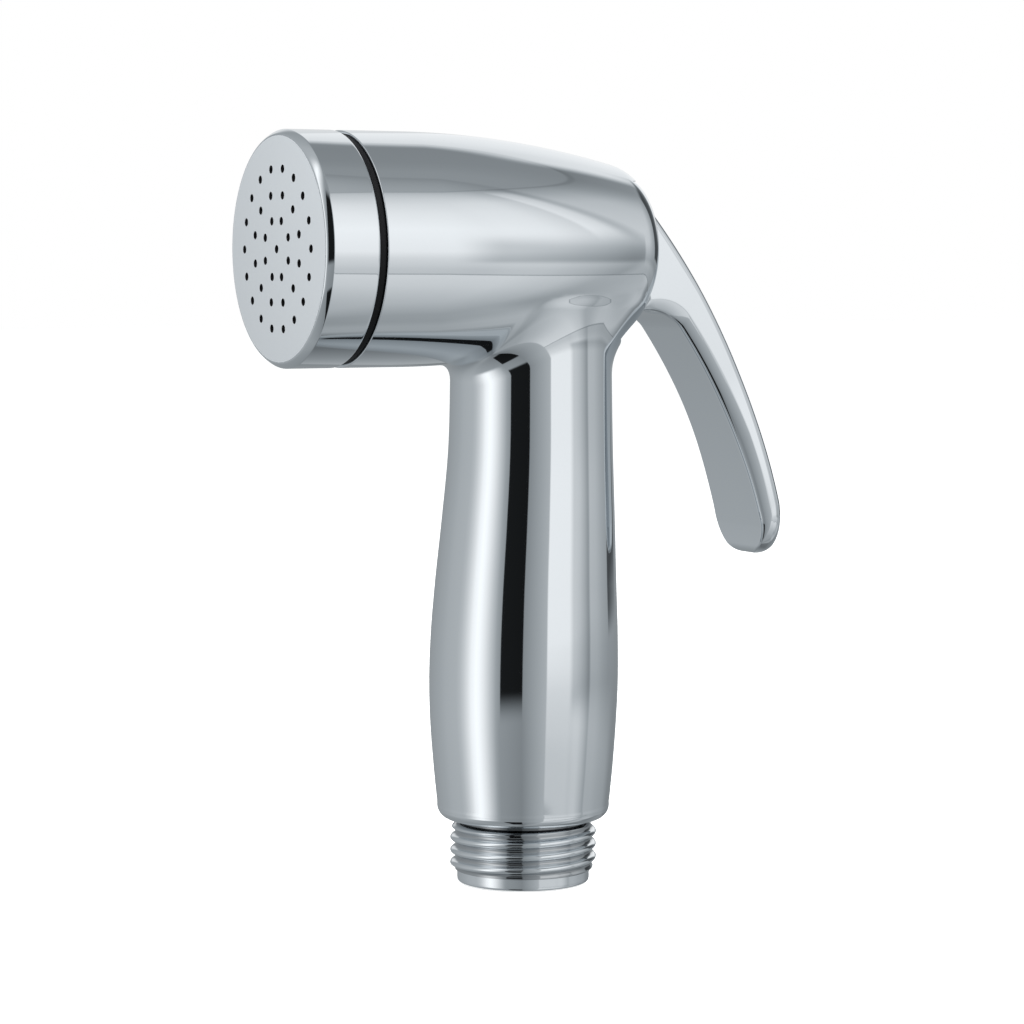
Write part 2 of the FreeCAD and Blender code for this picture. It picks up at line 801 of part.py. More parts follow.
def make_lever():
    """Cast lever: a hub on the pin, a nose on the button and a long curved finger plate."""
    body = new_body("lever")
    pin = (size.pin_x, pin_height)
    reach_x = size.lever_shoulder_x - pin[0]
    reach_z = size.lever_shoulder_height - pin[1]
    reach = root(reach_x * reach_x + reach_z * reach_z)
    radius = size.lever_hub_radius
    along = radius / reach
    across = root(1 - along * along)
    tangent = (
        pin[0] + radius * (along * reach_x - across * reach_z) / reach,
        pin[1] + radius * (along * reach_z + across * reach_x) / reach,
    )
    nose_x = size.pin_x + size.nose_offset + size.nose_radius
    nose_back = nose_x - size.nose_radius / 2
    nose_half = size.nose_radius * root(as_size(0.75))
    profile = new_sketch(body, "side_outline")
    draw_outline(profile, [
        (size.lever_shoulder_x, size.lever_shoulder_height),
        (size.lever_heel_x, size.lever_heel_height, size.lever_outer_radius),
        (lever_tip_outer, lever_tip, size.lever_heel_radius),
        (lever_tip_inner, lever_tip, size.lever_tip_radius),
        lever_toe,
        (size.lever_bend_x, size.lever_bend_height, -size.lever_inner_radius),
        (size.lever_root_x, size.lever_root_height, -size.lever_bend_radius),
        (nose_back, size.barrel_height - nose_half),
        (nose_back, size.barrel_height + nose_half, size.nose_radius),
        (pin[0], pin[1] - radius),
        (pin[0] - radius, pin[1], radius),
        (pin[0], pin[1] + radius, radius),
        tangent + (radius,),
    ])
    plate = body.newObject("PartDesign::Pad", "plate")
    plate.Profile = profile
    plate.SideType = "Symmetric"
    bind(plate, "Length", size.lever_width)
    document.recompute()
    treat_edges(body, "edge_breaks", "Chamfer", outer_edges(body.Shape), size.lever_edge_break)
    bore = new_sketch(body, "pin_bore_outline")
    draw_circle(bore, pin, size.pin_radius + size.running_fit)
    cut_through(body, "pin_bore", bore)
    chord = (lever_tip_outer - lever_tip_inner) / 2
    bottom = lever_tip - size.lever_tip_radius + root(
        size.lever_tip_radius * size.lever_tip_radius - chord * chord)
    corner = size.lever_tip_corner
    half_width = size.lever_width / 2
    corners = new_sketch(body, "tip_corners_outline", "YZ_Plane")
    for side in (1, -1):
        draw_outline(corners, [
            (side * half_width, bottom + corner),
            (side * (half_width - corner), bottom, side * corner),
            (side * (half_width - corner), bottom - size.cut_overrun),
            (side * (half_width + size.cut_overrun), bottom - size.cut_overrun),
            (side * (half_width + size.cut_overrun), bottom + corner),
        ])
    cut_through(body, "tip_corners", corners)
    return body


def outer_edges(shape):
    """The two long edges of the lever's outer face, known by their arc's radius."""
    return [number for number, edge in enumerate(shape.Edges, start=1)
            if edge.Curve.TypeId == "Part::GeomCircle"
            and abs(edge.Curve.Radius - size.lever_outer_radius.value) < 0.01]


def make_lever_pin():
    """Steel hinge pin, pressed in from the far side and just below the casting there."""
    body = new_body("lever_pin")
    side = root(barrel_corner * barrel_corner - size.pin_rise * size.pin_rise)
    section = new_sketch(body, "pin_outline")
    draw_circle(section, (size.pin_x, pin_height), size.pin_radius)
    pin = body.newObject("PartDesign::Pad", "pin")
    pin.Profile = section
    pin.SideType = "Two sides"
    bind(pin, "Length", size.pin_half_length)
    bind(pin, "Length2", side - size.pin_end_recess)
    document.recompute()
    return body


def make_inlet_nipple():
    """Turned hose nipple: a plain land, the thread's outer cylinder, and a shank in the grip."""
    body = new_body("inlet_nipple")
    land = size.nipple_land_radius
    thread = size.hose_thread_radius
    turn(body, "nipple", [
        (size.nipple_bore, 0),
        (land, 0),
        (land, size.hose_thread_start),
        (thread, size.hose_thread_start + size.nipple_edge),
        (thread, size.hose_thread_end),
        (size.nipple_shank_radius, size.hose_thread_end),
        (size.nipple_shank_radius, size.nipple_top),
        (size.nipple_bore, size.nipple_top),
    ], axis="V_Axis")
    return body


def make_nipple_gasket():
    """Rubber gasket on the nipple's top end, inside the grip's socket."""
    body = new_body("nipple_gasket")
    turn(body, "ring", [
        (size.nipple_bore, size.nipple_top),
        (size.nipple_shank_radius, size.nipple_top),
        (size.nipple_shank_radius, gasket_top),
        (size.nipple_bore, gasket_top),
    ], axis="V_Axis")
    return body


def make_inlet_filter():
    """Steel strainer disc clamped between the gasket and the end of the socket."""
    body = new_body("inlet_filter")
    turn(body, "disc", [
        (0, gasket_top),
        (size.nipple_shank_radius, gasket_top),
        (size.nipple_shank_radius, socket_top),
        (0, socket_top),
    ], axis="V_Axis")
    for ring, count in enumerate(FILTER_RING_COUNTS, start=1):
        opening = new_sketch(body, f"opening_outline_{ring}", "XY_Plane")
        middle = size.filter_ring_pitch * ring
        draw_square(opening, (middle, as_size(0)), size.filter_opening / 2)
        first = cut_through(body, f"opening_{ring}", opening)
        repeat_round(body, f"openings_{ring}", first, "Z_Axis", count)
    return body


def check_document():
    """Stop where any object failed to build."""
    for thing in document.Objects:
        if "Invalid" in thing.State or "Error" in thing.State:
            raise RuntimeError(f"{thing.Label} failed: {thing.State}")


def write_parts(bodies):
    """Write each sub-part's shape to its own file."""
    os.makedirs("parts", exist_ok=True)
    for body in bodies:
        if body.Shape.isNull() or not body.Shape.isValid():
            raise RuntimeError(f"{body.Label} has no valid shape")
        if len(body.Shape.Solids) != 1:
            raise RuntimeError(f"{body.Label} is not one solid")
        body.Shape.exportStep(f"parts/{body.Label}.step")


sub_parts = [
    make_body_casting(),
    make_spray_cap(),
    make_cap_seal_ring(),
    make_flow_diffuser(),
    make_valve_sleeve(),
    make_sleeve_gasket(),
    make_sleeve_rear_seal(),
    make_spring_retainer(),
    make_return_spring(),
    make_valve_spool(),
    make_valve_washer(),
    make_stem_seal(),
    make_stem_wiper(),
    make_thrust_button(),
    make_lever(),
    make_lever_pin(),
    make_inlet_nipple(),
    make_nipple_gasket(),
    make_inlet_filter(),
]
document.recompute()
check_document()
write_parts(sub_parts)
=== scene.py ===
import json
import math

import bmesh
import bpy
import numpy as np
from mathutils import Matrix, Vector


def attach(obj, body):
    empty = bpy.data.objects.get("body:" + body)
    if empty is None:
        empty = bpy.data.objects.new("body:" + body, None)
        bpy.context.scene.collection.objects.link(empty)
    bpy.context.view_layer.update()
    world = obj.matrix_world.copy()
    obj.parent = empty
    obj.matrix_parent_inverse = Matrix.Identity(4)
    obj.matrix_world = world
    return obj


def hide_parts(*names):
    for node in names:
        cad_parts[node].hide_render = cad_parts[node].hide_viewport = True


# Handheld bidet shower in polished chrome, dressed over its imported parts.
# Sizes are millimetres in the frame of the parts, and meshes are written in metres.
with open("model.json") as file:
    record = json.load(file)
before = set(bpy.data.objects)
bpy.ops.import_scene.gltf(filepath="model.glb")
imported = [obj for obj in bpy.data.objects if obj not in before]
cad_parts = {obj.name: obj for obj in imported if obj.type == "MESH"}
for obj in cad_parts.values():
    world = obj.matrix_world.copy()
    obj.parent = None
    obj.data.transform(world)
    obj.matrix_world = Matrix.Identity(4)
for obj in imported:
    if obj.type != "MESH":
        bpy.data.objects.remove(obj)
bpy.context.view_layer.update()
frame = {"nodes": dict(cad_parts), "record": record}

# Body casting: the barrel head and the grip are one metal casting, with a pocket cut in
# behind for the lever, and bores for the valve and the hose nipple. It is polished all
# over and then chromed.
MM = 0.001
CREASE = math.radians(35)
TURNED_SEGMENTS = 96
BARREL_HEIGHT = 90.2
BARREL_RADIUS = 16.3
SHOULDER = -29.2
SHOULDER_ROUND = 0.2
SHOULDER_TRIM = -28.2
GROOVE_RADIUS = 15.8
SPIGOT_END = -33.7
SPIGOT_RADIUS = 13.85
TAPER_START = -20.0
TAPER_END = 13.0
TAPER_RADIUS = 138.0
CORNER_X = 11.565
CORNER_R = 6.47
CORNER_RADIUS = 6.0
CORNER_LEAN = (TAPER_END - TAPER_START) / TAPER_RADIUS
CORNER_NORMAL = (CORNER_LEAN, math.sqrt(1 - CORNER_LEAN ** 2))
BARREL_BACK = CORNER_X + CORNER_RADIUS
GRIP_SECTIONS = [
    (9.0, 0.0, 12.1),
    (17.25, 0.0, 12.91),
    (23.0, 0.0, 13.32),
    (28.8, 0.07, 13.52),
    (34.6, 0.17, 13.43),
    (43.0, 0.42, 12.97),
    (51.8, 0.83, 12.38),
    (61.8, 1.20, 11.76),
    (71.7, 1.27, 11.53),
    (92.0, 1.27, 11.5),
]
GRIP_CENTRE = 0.6
GRIP_FADE = 82.0
GRIP_FADE_RATE = 0.35
LIP_CENTRE = (10.45, 11.0)
LIP_RADIUS = 1.9
LIP_TRIM = 11.35
FOOT = 9.1
FRONT_BLEND = 3.6
REAR_BLEND = 6.5
REAR_FROM = 7.0
REAR_OVER = 6.0
VOXEL_SIZES = (0.7, 0.48)
SETTLE_PASSES = 6
SKIN_DEPTH = 0.02
MOUTH_END = -21.5
MOUTH_RADIUS = 11.4
CHAMBER_END = 8.0
CHAMBER_RADIUS = 6.0
STEM_HOLE_RADIUS = 2.08
BUTTON_SEAT = 8.8
BUTTON_HOLE_RADIUS = 3.0
WATERWAY_RADIUS = 8.4
WATERWAY_NECK = 5.0
SOCKET_RADIUS = 9.6
SOCKET_DEPTH = 19.0
POCKET_FRONT = 9.7
POCKET_BACK = 22.6
POCKET_TOP = 99.95
POCKET_FOOT = 78.6
POCKET_HALF_WIDTH = 7.05
HINGE = (13.0, 97.0)
PIN_HOLE_RADIUS = 1.27


def object_from(name, mesh):
    """Link a mesh into the scene as an object at the origin."""
    thing = bpy.data.objects.new(name, mesh)
    bpy.context.scene.collection.objects.link(thing)
    return thing


def piece_from(name, points, faces):
    """A smooth-shaded piece from points in millimetres and lists of corners."""
    mesh = bpy.data.meshes.new(name)
    mesh.from_pydata([tuple(float(c) * MM for c in point) for point in points], [], faces)
    mesh.validate()
    tidy = bmesh.new()
    tidy.from_mesh(mesh)
    bmesh.ops.remove_doubles(tidy, verts=tidy.verts, dist=0.000002)
    loose = [edge for edge in tidy.edges if not edge.link_faces]
    bmesh.ops.delete(tidy, geom=loose, context="EDGES")
    bmesh.ops.recalc_face_normals(tidy, faces=tidy.faces)
    if tidy.calc_volume(signed=True) < 0:
        bmesh.ops.reverse_faces(tidy, faces=tidy.faces)
    tidy.to_mesh(mesh)
    tidy.free()
    mesh.shade_smooth()
    mesh.set_sharp_from_angle(angle=CREASE)
    return object_from(name, mesh)


def arc(centre, radius, start, end, steps):
    """Points along an arc, its angles in degrees."""
    angles = np.radians(np.linspace(start, end, steps + 1))
    return [(centre[0] + radius * math.cos(a), centre[1] + radius * math.sin(a)) for a in angles]


def grid_faces(rows, columns, closed_rows=False):
    """Quads over rows of points, each row closed on itself."""
    faces = []
    for row in range(rows if closed_rows else rows - 1):
        for column in range(columns):
            beside = (column + 1) % columns
            above = (row + 1) % rows
            faces.append((row * columns + column, row * columns + beside,
                          above * columns + beside, above * columns + column))
    return faces


def lathe(name, profile, segments, upright=False, centre=0.0):
    """Turn a closed profile of (along, radius) about the barrel's axis, or about Z."""
    angles = np.linspace(0, 2 * math.pi, segments, endpoint=False)
    points = []
    for along, radius in profile:
        for angle in angles:
            across, over = radius * math.cos(angle), radius * math.sin(angle)
            if upright:
                points.append((centre + across, over, along))
            else:
                points.append((along, across, BARREL_HEIGHT + over))
    return piece_from(name, points, grid_faces(len(profile), segments, closed_rows=True))


def prism(name, outline, near, far):
    """A closed outline in X and Z, carried across from near to far."""
    points = [(x, near, z) for x, z in outline] + [(x, far, z) for x, z in outline]
    count = len(outline)
    faces = [tuple(range(count)), tuple(range(2 * count - 1, count - 1, -1))]
    return piece_from(name, points, faces + grid_faces(2, count))


def keep_result(thing):
    """Make what an object's modifiers give its plain mesh."""
    graph = bpy.context.evaluated_depsgraph_get()
    result = bpy.data.meshes.new_from_object(thing.evaluated_get(graph))
    thing.modifiers.clear()
    thing.data = result


def with_modifier(thing, kind, **settings):
    """Apply one modifier to an object."""
    modifier = thing.modifiers.new(kind, kind)
    for key, value in settings.items():
        setattr(modifier, key, value)
    keep_result(thing)


def cut(thing, *cutters):
    """Take closed shapes away from an object, and drop them."""
    for cutter in cutters:
        with_modifier(thing, "BOOLEAN", object=cutter, operation="DIFFERENCE", solver="EXACT")
        bpy.data.objects.remove(cutter)


def smooth_curve(heights, knots, values):
    """A cubic through the knots with even slopes, and its slope."""
    slopes = np.gradient(values, knots)
    spot = np.clip(np.searchsorted(knots, heights) - 1, 0, len(knots) - 2)
    width = knots[spot + 1] - knots[spot]
    t = np.clip((heights - knots[spot]) / width, 0, 1)
    low, high = values[spot], values[spot + 1]
    rise_low, rise_high = slopes[spot] * width, slopes[spot + 1] * width
    height = ((2 * t ** 3 - 3 * t ** 2 + 1) * low + (t ** 3 - 2 * t ** 2 + t) * rise_low
              + (3 * t ** 2 - 2 * t ** 3) * high + (t ** 3 - t ** 2) * rise_high)
    slope = ((6 * t ** 2 - 6 * t) * low + (3 * t ** 2 - 4 * t + 1) * rise_low
             + (6 * t - 6 * t ** 2) * high + (3 * t ** 2 - 2 * t) * rise_high) / width
    return height, slope


def barrel_distance(points):
    """How far points lie outside the barrel's tapered side, corner and back."""
    x = points[:, 0]
    r = np.hypot(points[:, 1], points[:, 2] - BARREL_HEIGHT)
    straight = r - BARREL_RADIUS
    taper = np.hypot(x - TAPER_START, r - BARREL_RADIUS + TAPER_RADIUS) - TAPER_RADIUS
    corner = np.hypot(x - CORNER_X, r - CORNER_R) - CORNER_RADIUS
    past = (x - CORNER_X) * CORNER_NORMAL[1] > (r - CORNER_R) * CORNER_NORMAL[0]
    side = np.where(x < TAPER_START, straight, taper)
    side = np.where(past & (r > CORNER_R), corner, side)
    return np.where((r <= CORNER_R) & (x > CORNER_X), x - BARREL_BACK, side)


def grip_distance(points):
    """How far points lie outside the swelling grip, which fades out inside the barrel."""
    sections = np.array(GRIP_SECTIONS)
    centre, _ = smooth_curve(points[:, 2], sections[:, 0], sections[:, 1])
    radius, slope = smooth_curve(points[:, 2], sections[:, 0], sections[:, 2])
    above = np.clip(points[:, 2] - GRIP_FADE, 0, None)
    side = np.hypot(points[:, 0] - centre, points[:, 1]) - radius
    return side / np.sqrt(1 + slope ** 2) + GRIP_FADE_RATE * above ** 2


def body_distance(points):
    """The smooth union of barrel and grip, with a wider blend at the back."""
    barrel = barrel_distance(points)
    grip = grip_distance(points)
    reach = np.clip((points[:, 0] - REAR_FROM) / REAR_OVER, 0, 1)
    blend = FRONT_BLEND + (REAR_BLEND - FRONT_BLEND) * reach ** 2 * (3 - 2 * reach)
    overlap = np.clip(blend - np.abs(barrel - grip), 0, None) / blend
    return np.minimum(barrel, grip) - overlap ** 2 * blend / 4


def body_gradient(points, step=0.01):
    """The slope of the body's distance field."""
    slopes = [(body_distance(points + shift) - body_distance(points - shift)) / (2 * step)
              for shift in np.eye(3) * step]
    return np.stack(slopes, axis=1)


def points_of(mesh):
    """A mesh's points in millimetres."""
    flat = np.empty(len(mesh.vertices) * 3)
    mesh.vertices.foreach_get("co", flat)
    return flat.reshape(-1, 3) / MM


def settle_on_body(mesh):
    """Move every point of a mesh onto the body's surface."""
    points = points_of(mesh)
    for _ in range(SETTLE_PASSES):
        slope = body_gradient(points)
        reach = body_distance(points) / np.maximum((slope ** 2).sum(axis=1), 0.1)
        points = points - slope * np.clip(reach, -1, 1)[:, None]
    mesh.vertices.foreach_set("co", (points * MM).ravel())
    mesh.update()


def trim_and_draw_in(shape, place, way, rings):
    """Cut a closed mesh off square and carry its rim on over rings of (along, radius).

    The rings lie about the barrel's axis, or about Z where way points along Z.
    """
    geometry = shape.verts[:] + shape.edges[:] + shape.faces[:]
    bmesh.ops.bisect_plane(shape, geom=geometry, plane_co=Vector(place) * MM,
                           plane_no=Vector(way), clear_outer=True)
    rim = [edge for edge in shape.edges if edge.is_boundary]
    for along, radius in rings:
        made = bmesh.ops.extrude_edge_only(shape, edges=rim)["geom"]
        rim = [item for item in made if isinstance(item, bmesh.types.BMEdge)]
        for vert in (item for item in made if isinstance(item, bmesh.types.BMVert)):
            if way[2]:
                spoke = Vector((vert.co.x, vert.co.y)).normalized() * radius * MM
                vert.co = (spoke.x, spoke.y, along * MM)
            else:
                spoke = Vector((vert.co.y, vert.co.z - BARREL_HEIGHT * MM))
                spoke = spoke.normalized() * radius * MM
                vert.co = (along * MM, spoke.x, BARREL_HEIGHT * MM + spoke.y)
        rim = [edge for edge in rim if edge.is_boundary]
    bmesh.ops.contextual_create(shape, geom=rim)


def body_normals(thing):
    """Give the outer skin the exact normals of the field and keep the rest as it is."""
    mesh = thing.data
    mesh.shade_smooth()
    mesh.set_sharp_from_angle(angle=CREASE)
    points = points_of(mesh)
    corners = np.empty(len(mesh.loops), dtype=np.int64)
    mesh.loops.foreach_get("vertex_index", corners)
    normals = np.empty(len(mesh.loops) * 3)
    mesh.corner_normals.foreach_get("vector", normals)
    normals = normals.reshape(-1, 3)
    on_skin = np.abs(body_distance(points)) < SKIN_DEPTH
    slope = body_gradient(points)
    slope /= np.linalg.norm(slope, axis=1)[:, None]
    agree = (slope[corners] * normals).sum(axis=1) > 0.9
    chosen = np.where((on_skin[corners] & agree)[:, None], slope[corners], normals)
    mesh.normals_split_custom_set([tuple(normal) for normal in chosen])


barrel_outline = [(TAPER_START - 11, 0.0), (TAPER_START - 11, BARREL_RADIUS),
                  (TAPER_START, BARREL_RADIUS), (TAPER_END, 12.3), (16.0, 10.3),
                  (BARREL_BACK, 6.4), (BARREL_BACK, 0.0)]
grip_outline = [(8.0, 0.0), (8.0, 12.0)] + [(z, r) for z, _, r in GRIP_SECTIONS[1:]]
grip_outline += [(92.0, 0.0)]
rough_barrel = lathe("rough_barrel", barrel_outline, TURNED_SEGMENTS)
rough_grip = lathe("rough_grip", grip_outline, TURNED_SEGMENTS, upright=True, centre=GRIP_CENTRE)
joined = bmesh.new()
joined.from_mesh(rough_barrel.data)
joined.from_mesh(rough_grip.data)
body_mesh = bpy.data.meshes.new("body")
joined.to_mesh(body_mesh)
joined.free()
bpy.data.objects.remove(rough_barrel)
bpy.data.objects.remove(rough_grip)
body_shell = object_from("chrome_body", body_mesh)
for voxel in VOXEL_SIZES:
    with_modifier(body_shell, "REMESH", mode="VOXEL", voxel_size=voxel * MM)
    settle_on_body(body_shell.data)
shape = bmesh.new()
shape.from_mesh(body_shell.data)
round_start = SHOULDER + SHOULDER_ROUND
front_rings = [(round_start + 0.15, BARREL_RADIUS), (round_start, BARREL_RADIUS)]
front_rings += [(round_start - SHOULDER_ROUND * math.sin(a),
                 BARREL_RADIUS - SHOULDER_ROUND + SHOULDER_ROUND * math.cos(a))
                for a in np.radians((22, 45, 68, 90))]
front_rings += [(SHOULDER, GROOVE_RADIUS), (SHOULDER, SPIGOT_RADIUS),
                (SPIGOT_END, SPIGOT_RADIUS), (SPIGOT_END, 13.0)]
trim_and_draw_in(shape, (SHOULDER_TRIM, 0, 0), (-1, 0, 0), front_rings)
lip_rings = [(z, r) for r, z in arc(LIP_CENTRE, LIP_RADIUS, 0, -90, 10)]
lip_rings += [(FOOT, 10.3), (FOOT, 10.0)]
trim_and_draw_in(shape, (0, 0, LIP_TRIM), (0, 0, -1), lip_rings)
bmesh.ops.recalc_face_normals(shape, faces=shape.faces)
shape.to_mesh(body_shell.data)
shape.free()

barrel_bore = lathe("barrel_bore", [
    (-40, 0.0), (-40, MOUTH_RADIUS), (MOUTH_END, MOUTH_RADIUS), (MOUTH_END, CHAMBER_RADIUS),
    (CHAMBER_END, CHAMBER_RADIUS), (CHAMBER_END, STEM_HOLE_RADIUS),
    (BUTTON_SEAT, STEM_HOLE_RADIUS), (BUTTON_SEAT, BUTTON_HOLE_RADIUS),
    (12.0, BUTTON_HOLE_RADIUS), (12.0, 0.0)], TURNED_SEGMENTS)
waterway = lathe("waterway", [
    (18.0, 0.0), (18.0, WATERWAY_RADIUS), (75.0, WATERWAY_RADIUS), (78.4, WATERWAY_NECK),
    (87.5, WATERWAY_NECK), (87.5, 0.0)], TURNED_SEGMENTS, upright=True, centre=GRIP_CENTRE)
socket = lathe("socket", [
    (0.0, 0.0), (0.0, SOCKET_RADIUS), (SOCKET_DEPTH, SOCKET_RADIUS), (SOCKET_DEPTH, 0.0)],
    TURNED_SEGMENTS, upright=True)
pocket = prism("pocket", [
    (POCKET_FRONT, POCKET_TOP), (POCKET_BACK, POCKET_TOP), (POCKET_BACK, 68.6),
    (10.8, POCKET_FOOT), (POCKET_FRONT, POCKET_FOOT)], -POCKET_HALF_WIDTH, POCKET_HALF_WIDTH)
pin_hole = prism("pin_hole", arc(HINGE, PIN_HOLE_RADIUS, 0, 360, 48)[:-1], -9.0, 20.0)
cut(body_shell, barrel_bore, waterway, socket, pocket, pin_hole)
body_normals(body_shell)


class Value:
    """A shader socket that takes part in plain arithmetic."""

    def __init__(self, recipe, socket):
        self.recipe = recipe
        self.socket = socket

    def __add__(self, other):
        return self.recipe.work_out("ADD", self, other)

    def __sub__(self, other):
        return self.recipe.work_out("SUBTRACT", self, other)

    def __mul__(self, other):
        return self.recipe.work_out("MULTIPLY", self, other)

    def __truediv__(self, other):
        return self.recipe.work_out("DIVIDE", self, other)

    def __rsub__(self, other):
        return self.recipe.work_out("SUBTRACT", other, self)

    def __rtruediv__(self, other):
        return self.recipe.work_out("DIVIDE", other, self)

    __radd__ = __add__
    __rmul__ = __mul__

    def rise(self, low, high):
        """0 below low, 1 above high, and smooth between."""
        made = self.recipe.node("ShaderNodeMapRange", {
            "Value": self, "From Min": low, "From Max": high}, interpolation_type="SMOOTHSTEP")
        return Value(self.recipe, made.outputs["Result"])

    def between(self, low, high, soft_low, soft_high):
        """1 from low to high, fading out over a width on each side."""
        return self.rise(low - soft_low, low) * (1 - self.rise(high, high + soft_high))

    def profile(self, *stops):
        """A line drawn through (place, level) stops, level beyond both ends."""
        first, last = stops[0][0], stops[-1][0]
        made = self.recipe.node("ShaderNodeValToRGB", {"Fac": (self - first) / (last - first)}, [
            ((place - first) / (last - first), level) for place, level in stops])
        return Value(self.recipe, made.outputs["Color"])


class Recipe:
    """A node tree being put together, with every node made by one method."""

    def __init__(self, tree):
        self.tree = tree

    def node(self, kind, sockets=None, stops=(), **settings):
        """A node with its settings and a ramp's stops, then its sockets' values or links."""
        made = self.tree.nodes.new(kind)
        for key, value in settings.items():
            setattr(made, key, value)
        for place, _ in stops[1:-1]:
            made.color_ramp.elements.new(place)
        for index, (_, level) in enumerate(stops):
            made.color_ramp.elements[index].color = (level, level, level, 1)
        self.fill(made, sockets or {})
        return made

    def fill(self, made, sockets):
        """Give a node's sockets their values or links."""
        for name, source in sockets.items():
            if isinstance(source, Value):
                self.tree.links.new(source.socket, made.inputs[name])
            elif isinstance(source, bpy.types.NodeSocket):
                self.tree.links.new(source, made.inputs[name])
            else:
                made.inputs[name].default_value = source

    def work_out(self, operation, *terms):
        """A Math node on values and numbers, as a value."""
        made = self.node("ShaderNodeMath", dict(enumerate(terms)), operation=operation)
        return Value(self, made.outputs[0])

    def noise(self, position, scale, detail=2.0, stretch=(1, 1, 1)):
        """Noise over a position, as a value."""
        mapping = self.node("ShaderNodeMapping", {"Vector": position, "Scale": stretch})
        made = self.node("ShaderNodeTexNoise", {
            "Vector": mapping.outputs[0], "Scale": scale, "Detail": detail})
        return Value(self, made.outputs["Fac"])


def finish_material(name, colour, roughness, metallic, variation, grain, relief,
                    stretch=(1, 1, 1), mottle=0.05, depth=None):
    """A finish whose colour, roughness and relief all vary finely over the surface.

    A depth of (low, high, floor) in metres paints shade into the colour: it darkens what
    lies nearer to the Z axis than high, above the floor, as shade in a thread's grooves.
    """
    material = bpy.data.materials.new(name)
    material.use_nodes = True
    recipe = Recipe(material.node_tree)
    position = recipe.node("ShaderNodeTexCoord").outputs["Object"]
    broad = recipe.noise(position, grain * 0.12)
    fine = recipe.noise(position, grain, 4.0, stretch)
    shade = recipe.node("ShaderNodeMix", {
        "Factor": (broad - 0.5) * (2 * mottle) + 0.5,
        "A": tuple(c * (1 - mottle) for c in colour) + (1,),
        "B": tuple(min(1, c * (1 + mottle)) for c in colour) + (1,)}, data_type="RGBA")
    # Painted shade: the colour is darkened nearer the Z axis, as in the thread's grooves.
    if depth is not None:
        low, high, floor_height = depth
        level = recipe.node("ShaderNodeVectorMath", {0: position, 1: (1, 1, 0)},
                            operation="MULTIPLY")
        length = recipe.node("ShaderNodeVectorMath", {0: level.outputs[0]}, operation="LENGTH")
        upright = recipe.node("ShaderNodeSeparateXYZ", {"Vector": position}).outputs["Z"]
        above = Value(recipe, upright).rise(floor_height - 0.0001, floor_height)
        shade = recipe.node("ShaderNodeMix", {
            "Factor": Value(recipe, length.outputs["Value"]).rise(low, high) + (1 - above),
            "A": tuple(c * 0.3 for c in colour) + (1,),
            "B": shade.outputs["Result"]}, data_type="RGBA")
    bump = recipe.node("ShaderNodeBump", {
        "Height": fine, "Strength": relief, "Distance": 0.0001})
    recipe.fill(material.node_tree.nodes["Principled BSDF"], {
        "Base Color": shade.outputs["Result"],
        "Roughness": (fine * 0.6 + broad * 0.4 - 0.5) * (2 * variation * roughness) + roughness,
        "Normal": bump.outputs["Normal"],
        "Metallic": metallic})
    return material


def dress(thing, body, slot_name, material, *nodes):
    """Give a piece its finish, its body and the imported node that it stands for."""
    if not thing.data.materials:
        thing.data.materials.append(material)
    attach(thing, body)
    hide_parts(*nodes)


CHROME_COLOUR = (0.85, 0.885, 0.915)
chrome = finish_material("polished_chrome", CHROME_COLOUR, roughness=0.04, metallic=1.0,
                         variation=0.3, grain=900, relief=0.003, mottle=0.02)
dress(body_shell, "housing", "chrome_body", chrome, "body_casting")

# Spray cap: a turned and chromed metal cup with a rounded edge and a satin face, screwed
# on in front of the barrel. Its face is drilled with rings of spray holes about a middle
# one, and a node tree makes the rings.
SPRAY_FACE = -38.2
CAP_BACK = -30.3
CAP_BACK_ROUND = 0.3
CAP_BORE = 14.0
FACE_WALL_BACK = -36.2
FACE_DOME = 0.15
FACE_REGION = -37.0
HOLE_RADIUS = 0.575
HOLE_LENGTH = 6.0
HOLE_RINGS = ((4.1, 8), (7.5, 12), (11.0, 18))


def rounding(*turns, steps=6):
    """An edge's points as (back from the side, inward), through turns of (from, to, radius)."""
    back, inward = 0.0, 0.0
    points = [(back, inward)]
    for start, end, radius in turns:
        angles = np.radians(np.linspace(start, end, steps + 1))
        for before, after in zip(angles, angles[1:]):
            back += radius * (math.sin(after) - math.sin(before))
            inward += radius * (math.cos(before) - math.cos(after))
            points.append((back, inward))
    return points


CAP_EDGE = rounding((0, 30, 0.35), (30, 43, 4.2), (43, 88, 0.4))
edge_depth, edge_inset = CAP_EDGE[-1]
rim = BARREL_RADIUS - edge_inset
cap_profile = [(SPRAY_FACE + FACE_DOME * (r / rim) ** 2, r)
               for r in np.linspace(HOLE_RADIUS, rim, 9)]
cap_profile += [(SPRAY_FACE + FACE_DOME + edge_depth - back, BARREL_RADIUS - inward)
                for back, inward in CAP_EDGE[-2::-1]]
cap_profile += [(CAP_BACK - 0.5, BARREL_RADIUS)]
cap_profile += arc((CAP_BACK - CAP_BACK_ROUND, BARREL_RADIUS - CAP_BACK_ROUND), CAP_BACK_ROUND,
                   90, 0, 6)
cap_profile += [(CAP_BACK, GROOVE_RADIUS), (CAP_BACK, CAP_BORE), (FACE_WALL_BACK, CAP_BORE),
                (FACE_WALL_BACK, HOLE_RADIUS)]
cap_shell = lathe("chrome_cap", cap_profile, 256)
satin_chrome = finish_material("satin_chrome", CHROME_COLOUR, roughness=0.3, metallic=0.5,
                               variation=0.2, grain=900, relief=0.01, mottle=0.02)
bore_shade = finish_material("hole_shade", (0.01, 0.01, 0.011), roughness=0.6, metallic=0,
                             variation=0.2, grain=900, relief=0.02)


